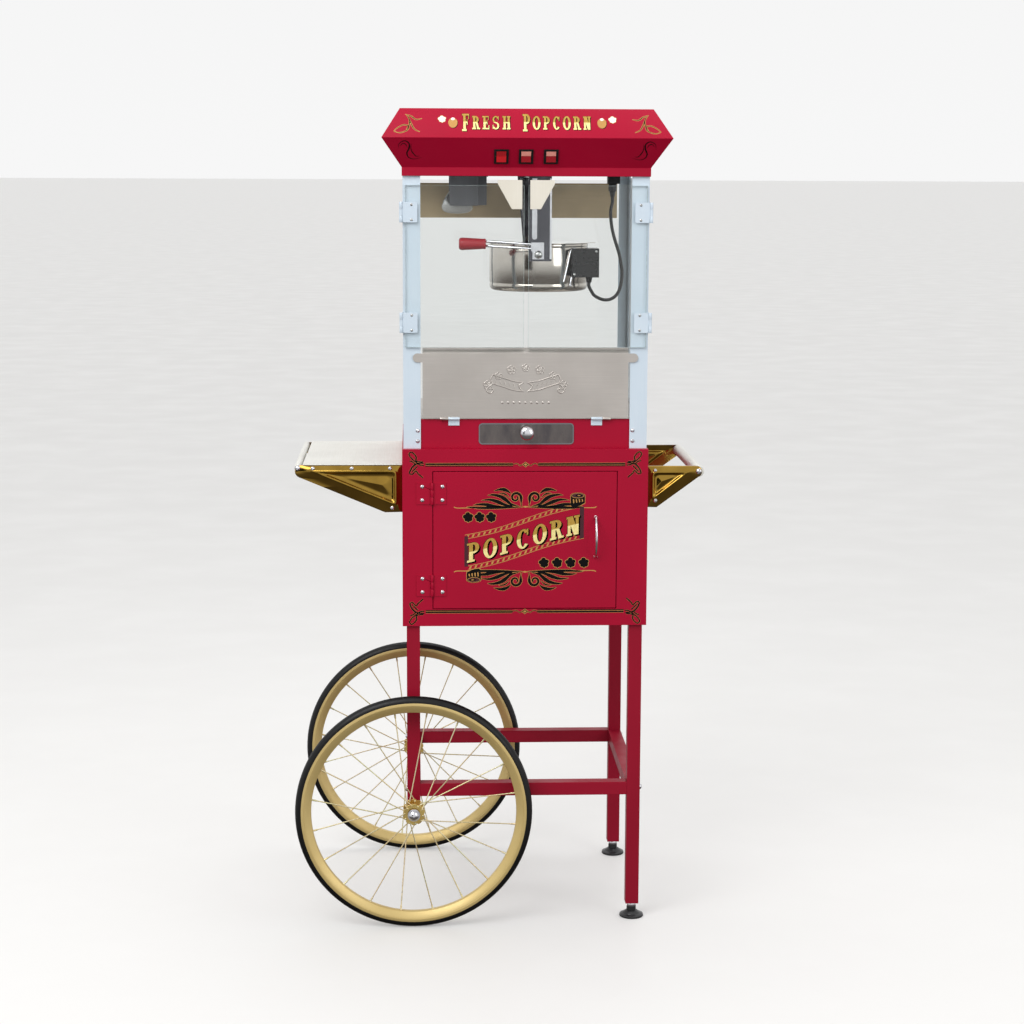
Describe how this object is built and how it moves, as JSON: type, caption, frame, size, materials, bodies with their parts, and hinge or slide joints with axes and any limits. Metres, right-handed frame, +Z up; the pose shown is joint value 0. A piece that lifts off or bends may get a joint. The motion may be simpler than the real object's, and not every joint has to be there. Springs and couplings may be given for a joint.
{
  "type": "popcorn cart",
  "caption": "Popcorn cart with a kettle in a clear cabin under a red canopy, on a storage cabinet with spoked wheels, levelling feet, a side shelf and a push handle.",
  "frame": {"origin": "on the floor under the middle of the whole cart's bounding box", "axes": "+Z up, the front faces -Y, the wheels and the side shelf are at -X and the push handle is at +X"},
  "size_m": [0.7872, 0.566, 1.565],
  "materials": {
    "red_paint": "gloss",
    "dark_red_paint": "gloss",
    "gold_paint": "satin",
    "brass_plate": "polished",
    "spoke_wire": "polished",
    "tyre_rubber": "matt",
    "foot_rubber": "matt",
    "chrome": "polished",
    "zinc": "satin",
    "stainless": "brushed",
    "shelf_steel": "brushed",
    "header_steel": "brushed",
    "post_aluminium": "anodised",
    "clear_sheet": "clear",
    "cream_plate": "satin",
    "grey_steel": "satin",
    "dark_steel": "polished",
    "pot_steel": "polished",
    "black_plastic": "satin",
    "black_rubber": "satin",
    "red_plastic": "gloss",
    "lamp_glass": "frosted"
  },
  "bodies": {
    "cart": {"wheel_side_legs": "red_paint", "foot_side_legs": "red_paint", "lower_rails": "red_paint", "axle": "zinc", "axle_hardware": "chrome", "cabinet_shell": "red_paint", "cabinet_front_frame": "red_paint", "cabinet_floor_and_top": "red_paint", "cabinet_frame_leaves": "red_paint", "hinge_pins": "zinc", "side_shelf": "shelf_steel", "side_brackets": "brass_plate", "cross_bars": "zinc", "machine_screws": "zinc", "base_shell": "dark_red_paint", "deck_plate": "stainless", "corner_posts": "post_aluminium", "cabin_glass": "clear_sheet", "rear_header": "header_steel", "cabin_hinge_leaves": "post_aluminium", "canopy_shell": "red_paint", "ceiling_plate": "grey_steel", "gear_motor": "grey_steel", "kettle_hanger": "dark_steel", "kettle_lead": "black_rubber", "power_sockets": "black_plastic", "lamp_shield": "grey_steel", "lamp_bulb": "lamp_glass", "switch_bezels": "black_plastic"},
    "front_wheel": {"front_tyre": "tyre_rubber", "front_rim": "gold_paint", "front_spokes": "spoke_wire", "front_hub": "gold_paint"},
    "rear_wheel": {"rear_tyre": "tyre_rubber", "rear_rim": "gold_paint", "rear_spokes": "spoke_wire", "rear_hub": "gold_paint"},
    "front_foot": {"front_foot": "foot_rubber"},
    "rear_foot": {"rear_foot": "foot_rubber"},
    "cabinet_door": {"cabinet_door": "red_paint", "cabinet_door_leaves": "red_paint", "door_pull": "chrome"},
    "left_glass_door": {"left_glass_door": "clear_sheet", "left_door_fittings": "cream_plate"},
    "right_glass_door": {"right_glass_door": "clear_sheet", "right_door_fittings": "cream_plate"},
    "serving_flap": {"serving_flap": "stainless"},
    "kernel_drawer": {"kernel_drawer": "dark_steel", "drawer_knob": "chrome"},
    "kettle": {"kettle_pot": "pot_steel", "kettle_handle": "chrome", "kettle_grip": "red_plastic", "terminal_box": "black_plastic"},
    "left_lid": {"left_kettle_lid": "pot_steel"},
    "right_lid": {"right_kettle_lid": "pot_steel"},
    "stirrer": {"stirrer": "chrome"},
    "drive": {"drive_crown": "zinc"},
    "left_rocker": {"left_rocker": "red_plastic"},
    "middle_rocker": {"middle_rocker": "red_plastic"},
    "right_rocker": {"right_rocker": "red_plastic"}
  },
  "joints": [
    {"name": "front_wheel_spin", "type": "hinge", "parent": "cart", "child": "front_wheel", "pos_m": [-0.16505, -0.25, 0.2286], "axis": [0, 1, 0], "continuous": true},
    {"name": "rear_wheel_spin", "type": "hinge", "parent": "cart", "child": "rear_wheel", "pos_m": [-0.16505, 0.25, 0.2286], "axis": [0, 1, 0], "continuous": true},
    {"name": "front_foot_turn", "type": "hinge", "parent": "cart", "child": "front_foot", "pos_m": [0.26235, -0.2043, 0.02], "axis": [0, 0, 1], "continuous": true},
    {"name": "rear_foot_turn", "type": "hinge", "parent": "cart", "child": "rear_foot", "pos_m": [0.26235, 0.2023, 0.02], "axis": [0, 0, 1], "continuous": true},
    {"name": "cabinet_door_swing", "type": "hinge", "parent": "cart", "child": "cabinet_door", "pos_m": [-0.12885, -0.2262, 0.755], "axis": [0, 0, -1], "range_deg": [0, 105]},
    {"name": "left_glass_door_swing", "type": "hinge", "parent": "cart", "child": "left_glass_door", "pos_m": [-0.18635, -0.215, 1.27], "axis": [0, 0, -1], "range_deg": [0, 115]},
    {"name": "right_glass_door_swing", "type": "hinge", "parent": "cart", "child": "right_glass_door", "pos_m": [0.28365, -0.215, 1.27], "axis": [0, 0, 1], "range_deg": [0, 115]},
    {"name": "serving_flap_drop", "type": "hinge", "parent": "cart", "child": "serving_flap", "pos_m": [0.04865, -0.211, 0.9862], "axis": [1, 0, 0], "range_deg": [0, 90]},
    {"name": "kernel_drawer_slide", "type": "slide", "parent": "cart", "child": "kernel_drawer", "axis": [0, -1, 0], "range_m": [0, 0.2]},
    {"name": "kettle_tilt", "type": "hinge", "parent": "cart", "child": "kettle", "pos_m": [0.07565, -0.02, 1.293], "axis": [0, -1, 0], "range_deg": [0, 100], "deforming": ["kettle_lead"]},
    {"name": "left_lid_lift", "type": "hinge", "parent": "kettle", "child": "left_lid", "pos_m": [0.06865, -0.02, 1.3147], "axis": [0, 1, 0], "range_deg": [0, 85]},
    {"name": "right_lid_lift", "type": "hinge", "parent": "kettle", "child": "right_lid", "pos_m": [0.09665, -0.02, 1.3147], "axis": [0, -1, 0], "range_deg": [0, 85]},
    {"name": "stirrer_spin", "type": "hinge", "parent": "kettle", "child": "stirrer", "pos_m": [0.08265, -0.02, 1.3], "axis": [0, 0, 1], "continuous": true},
    {"name": "drive_spin", "type": "hinge", "parent": "cart", "child": "drive", "pos_m": [0.08265, -0.02, 1.43], "axis": [0, 0, 1], "continuous": true},
    {"name": "left_rocker_tip", "type": "hinge", "parent": "cart", "child": "left_rocker", "pos_m": [0.00065, -0.22692, 1.47899], "axis": [1, 0, 0], "range_deg": [0, 14]},
    {"name": "middle_rocker_tip", "type": "hinge", "parent": "cart", "child": "middle_rocker", "pos_m": [0.04665, -0.22692, 1.47899], "axis": [1, 0, 0], "range_deg": [0, 14]},
    {"name": "right_rocker_tip", "type": "hinge", "parent": "cart", "child": "right_rocker", "pos_m": [0.09305, -0.22692, 1.47899], "axis": [1, 0, 0], "range_deg": [0, 14]}
  ],
  "couplings": [
    {"joint": "drive_spin", "follows": "stirrer_spin", "ratio": 1}
  ]
}
